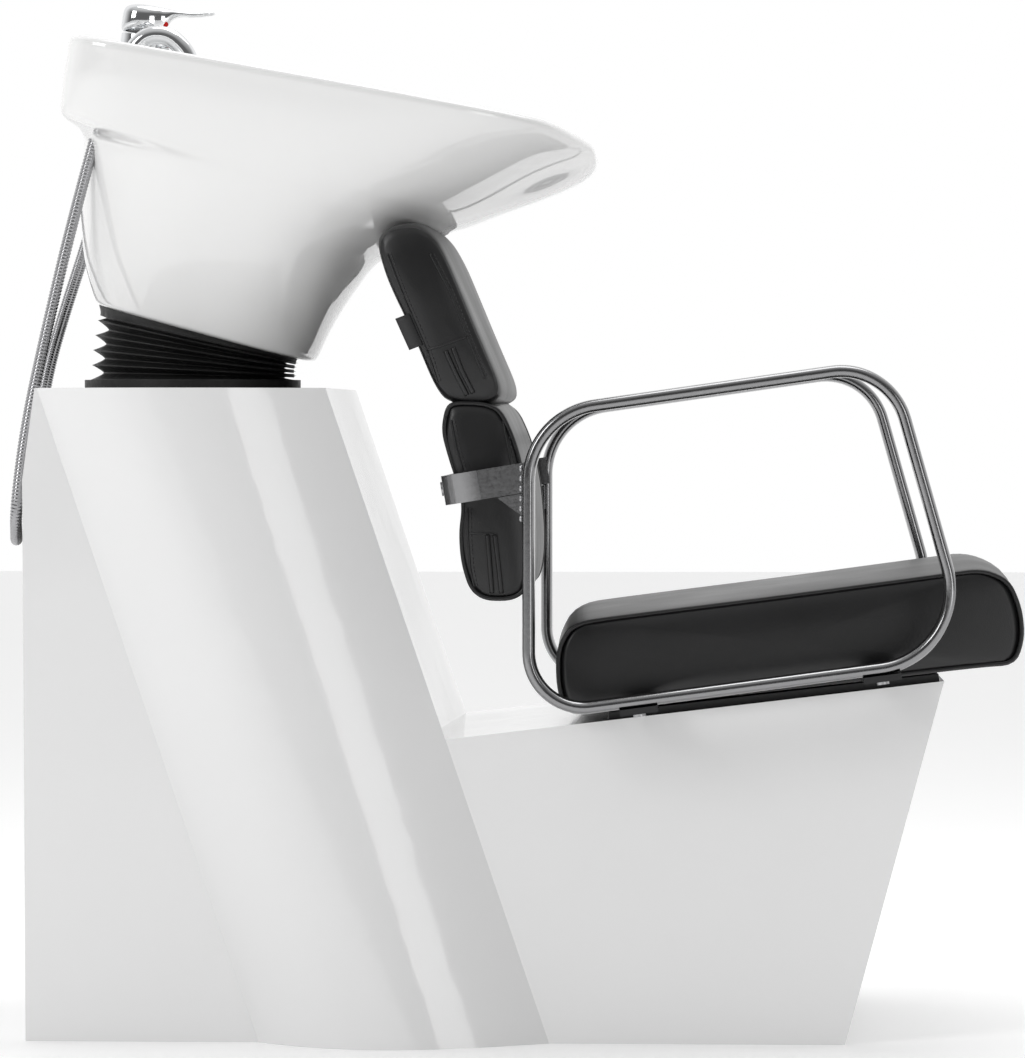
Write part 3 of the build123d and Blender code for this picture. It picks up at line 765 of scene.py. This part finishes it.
def make_lever():
    """Cast lever: a domed cap that sweeps forward into a thin, slightly raised blade."""
    # distance forward, half width, lowest, highest
    rows = [(-20.5, 6, 44, 60), (-18.5, 12, 41.6, 66), (-13, 17.5, 41.3, 69), (-5, 20.5, 41.2, 70.5),
            (5, 20.5, 41.2, 70.5), (13, 17.5, 41.4, 70), (19, 14, 44, 69.5), (24, 12, 51, 69),
            (29, 11, 59, 68.5), (36, 10.5, 62.5, 68), (46, 10, 63.5, 68), (56, 9.5, 65, 69),
            (63, 8.5, 66.8, 70.4), (68, 6.5, 68.2, 71.2), (70, 3, 69.2, 71)]
    rings = []
    for x, half, low, high in blend_rows(rows, 4):
        middle, tall = (low + high) / 2, (high - low) / 2
        ring = []
        for j in range(32):
            angle = 2 * math.pi * j / 32
            c, s = math.cos(angle), math.sin(angle)
            ring.append(tap_point(x, math.copysign(abs(c) ** 0.75, c) * half,
                                  middle + math.copysign(abs(s) ** 0.62, s) * tall))
        rings.append(ring)
    lever = mesh_object("lever_cast", *skin(rings, True, True))
    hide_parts("lever_handle")
    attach(lever, "lever")
    dress(lever, "chrome")


# ---- bellows ------------------------------------------------------------------------------
ROOT_R = 0.0905           # gaiter radius at the bottom of a fold
FOLD_DEPTH = 0.0125
COLLAR_R = 0.103          # smooth collar under the bowl
COLLAR_FROM = 0.86        # share of the height where the collar starts


def make_bellows():
    """Folded rubber gaiter, deep folds behind and tight ones in front."""
    low_centre = Vector((-0.336, 0, 0.638))
    top_centre = BOWL_SEAT + U_AXIS * -0.0155
    folds = 5
    steps = 14
    sides = 96
    rings = []
    total = folds * steps
    for i in range(total + 1):
        t = i / total
        phase = (i % steps) / steps
        tooth = abs(2 * phase - 1) ** 1.35
        radius = ROOT_R + FOLD_DEPTH * tooth
        if t > COLLAR_FROM:
            radius = COLLAR_R - 0.002 * math.sin(phase * math.pi)
        ring = []
        for j in range(sides):
            angle = 2 * math.pi * j / sides
            c, s = math.cos(angle), math.sin(angle)
            wobble = 1 + 0.006 * math.sin(5 * angle + 9 * t)
            low = low_centre + Vector((c, s, 0)) * radius * wobble
            high = top_centre + (U_AXIS * c + Vector((0, s, 0))) * radius * wobble
            ring.append(low.lerp(high, t))
        rings.append(ring)
    gaiter = mesh_object("bellows_gaiter", *skin(rings))
    solid = gaiter.modifiers.new("wall", "SOLIDIFY")
    solid.thickness = 0.002
    solid.offset = -1
    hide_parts("bellows")
    dress(gaiter, "rubber")
    apply_modifiers(gaiter)
    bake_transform(gaiter)


def apply_modifiers(piece):
    """Makes a piece's modifiers part of its mesh."""
    bpy.context.view_layer.update()
    graph = bpy.context.evaluated_depsgraph_get()
    mesh = bpy.data.meshes.new_from_object(piece.evaluated_get(graph))
    piece.modifiers.clear()
    piece.data = mesh


# ---- hoses --------------------------------------------------------------------------------
SHOWER_ROUTE = [(-0.416, -0.131, 0.880), (-0.441, -0.131, 0.789), (-0.465, -0.131, 0.689),
                (-0.487, -0.131, 0.589), (-0.497, -0.131, 0.5093), (-0.4995, -0.1017, 0.480),
                (-0.506, -0.0603, 0.480), (-0.510, -0.031, 0.5093), (-0.501, -0.031, 0.589),
                (-0.479, -0.031, 0.689), (-0.455, -0.031, 0.789), (-0.430, -0.031, 0.880)]
SUPPLY_Y = {"hot": 0.050, "cold": 0.082}
SHOWER_D = 0.012
SUPPLY_D = 0.009


def supply_route(y):
    """From the mixer's inlet under the deck down to a nut inside the service bay."""
    return [(-0.418, y, 0.880), (-0.434, y, 0.833), (-0.451, y, 0.775), (-0.471, y, 0.715),
            (-0.489, y, 0.655), (-0.499, y, 0.600), (-0.500, y, 0.548), (-0.487, y, 0.507),
            (-0.463, y, 0.485), (-0.443, y, 0.466), (-0.438, y, 0.440)]


def free_hose(name, node, route, diameter, pitch):
    """A ribbed metal hose along its route."""
    line = nurbs_line(route, pitch / 4)
    piece = tube(name, line, diameter / 2, 14, diameter * 0.07, pitch)
    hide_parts(node)
    dress(piece, "hose_metal")
    return piece


def make_hoses():
    """Shower hose and the two supply tails."""
    shower = free_hose("shower_hose_ribbed", "shower_hose", SHOWER_ROUTE, SHOWER_D,
                       0.0034)
    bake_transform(shower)
    for word, y in SUPPLY_Y.items():
        tail = free_hose(f"supply_tail_{word}", f"supply_hose_{word}", supply_route(y), SUPPLY_D,
                         0.0026)
        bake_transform(tail)


def make_waste():
    """Corrugated waste hose inside the gaiter."""
    route = [(-0.3838, 0, 0.6578), (-0.393, 0, 0.624), (-0.396, 0, 0.588), (-0.394, 0, 0.540),
             (-0.389, 0, 0.492), (-0.388, 0, 0.446)]
    hose = tube("waste_hose_corrugated", nurbs_line(route, 0.0011), 0.0158, 28, 0.0026, 0.0055)
    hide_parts("waste_hose")
    dress(hose, "plastic")
    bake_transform(hose)


# ---- stage --------------------------------------------------------------------------------
def make_floor():
    """A wide white floor that runs out of the picture."""
    size = 14.0
    floor = mesh_object("floor", [(-size, -size, 0), (size, -size, 0), (size, size, 0), (-size, size, 0)],
                        [(0, 1, 2, 3)], False)
    material, tree, shader = new_material("floor_white", (0.93, 0.93, 0.93), 0.6)
    tree.links.new(tint(tree, noise(tree, 1.5), (0.92, 0.92, 0.92), (0.94, 0.94, 0.94)),
                   shader.inputs["Base Color"])
    shader.inputs["Emission Color"].default_value = (1, 1, 1, 1)
    shader.inputs["Emission Strength"].default_value = 0.17
    floor.data.materials.append(material)


def area_light(name, place, aim, size, power):
    """A soft box at a place, turned towards its aim."""
    data = bpy.data.lights.new(name, "AREA")
    data.shape = "RECTANGLE"
    data.size, data.size_y = size
    data.energy = power
    light = bpy.data.objects.new(name, data)
    bpy.context.scene.collection.objects.link(light)
    light.location = place
    light.rotation_euler = (Vector(aim) - Vector(place)).to_track_quat("-Z", "Y").to_euler()


def surround(tree):
    """A white studio that is dimmer towards the room in front of the object."""
    place = tree.nodes.new("ShaderNodeTexCoord")
    split = tree.nodes.new("ShaderNodeSeparateXYZ")
    tree.links.new(place.outputs["Generated"], split.inputs["Vector"])
    depth = ramp(tree, split.outputs["Y"], -0.45, 0.35, 0.14, 1.0)
    height = ramp(tree, split.outputs["Z"], 0.25, 0.9, 0.0, 0.7)
    add = tree.nodes.new("ShaderNodeMath")
    add.operation = "MAXIMUM"
    tree.links.new(depth, add.inputs[0])
    tree.links.new(height, add.inputs[1])
    tree.links.new(add.outputs["Value"], tree.nodes["Background"].inputs["Strength"])
    tree.nodes["Background"].inputs["Color"].default_value = (1, 1, 1, 1)


def studio():
    """Floor, surround, three soft boxes and the camera beside the unit."""
    make_floor()
    world = bpy.data.worlds.new("studio")
    bpy.context.scene.world = world
    world.use_nodes = True
    surround(world.node_tree)
    area_light("key", (-2.6, -2.6, 2.3), (-0.2, 0, 0.5), (1.3, 1.8), 40)
    area_light("fill", (2.4, -3.4, 0.9), (0, 0, 0.4), (1.0, 1.8), 12)
    area_light("top", (0.3, 0.5, 3.0), (0, 0, 0.4), (1.8, 1.8), 24)
    bpy.context.scene.view_settings.view_transform = "Standard"
    camera_data = bpy.data.cameras.new("camera")
    camera = bpy.data.objects.new("camera", camera_data)
    bpy.context.scene.collection.objects.link(camera)
    camera.location = (0.169, -4.92, 0.603)
    aim = Vector((-0.0155, 0, 0.489))
    camera.rotation_euler = (aim - camera.location).to_track_quat("-Z", "Y").to_euler()
    camera_data.lens = 167.5
    camera_data.sensor_width = 36
    camera_data.clip_end = 60
    bpy.context.scene.camera = camera


# ---- putting it together ------------------------------------------------------------------
dress_cad_nodes()
bevel(NODES["base_shell"], 0.005, 3, 28)
for strip in ("backrest_strap", "cross_bars", "mixer_base_ring", "handset_dock", "spray_head"):
    bevel(NODES[strip], 0.0012, 2, 40)

studio()
make_hoses()
make_waste()
glazed = make_bowl()
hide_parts("bowl")
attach(glazed, "bowl")
dress(glazed, "ceramic")
seat_and_back()
make_bellows()
make_armrests()
make_weld_beads()
make_lever()
